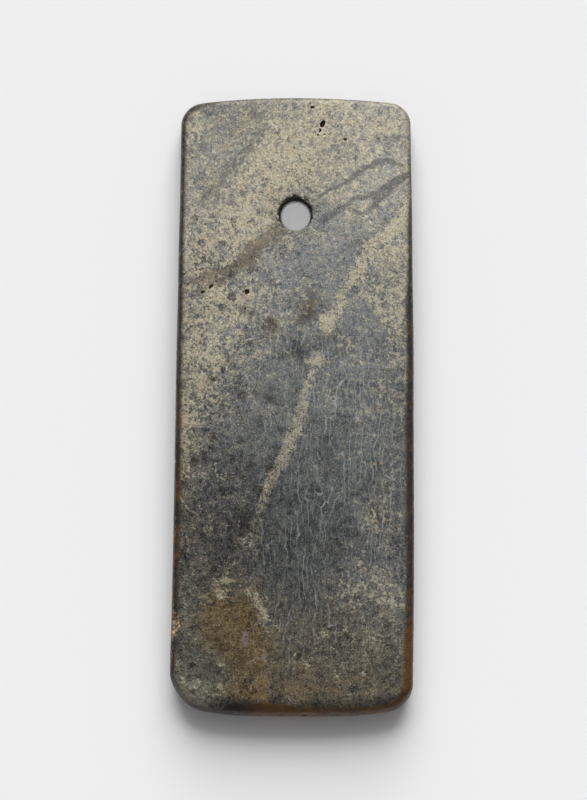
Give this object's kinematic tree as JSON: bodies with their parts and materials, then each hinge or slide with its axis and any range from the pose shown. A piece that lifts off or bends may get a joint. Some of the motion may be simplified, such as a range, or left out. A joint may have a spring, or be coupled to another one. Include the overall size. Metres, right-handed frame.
{
  "type": "jadeite axe head",
  "caption": "Flat rectangular polished stone axe blade with a thin ground cutting edge and a drilled lashing hole near the butt.",
  "frame": {"origin": "below the middle of the bounding box, on the flat back that the blade lies on", "axes": "+Y along the blade from the cutting edge to the butt, +Z out of the front face, +X to the right seen from the front with the butt up"},
  "size_m": [0.0788, 0.2, 0.012],
  "materials": {
    "jadeite": "satin"
  },
  "bodies": {
    "root": {"axe_head": "jadeite"}
  },
  "joints": []
}
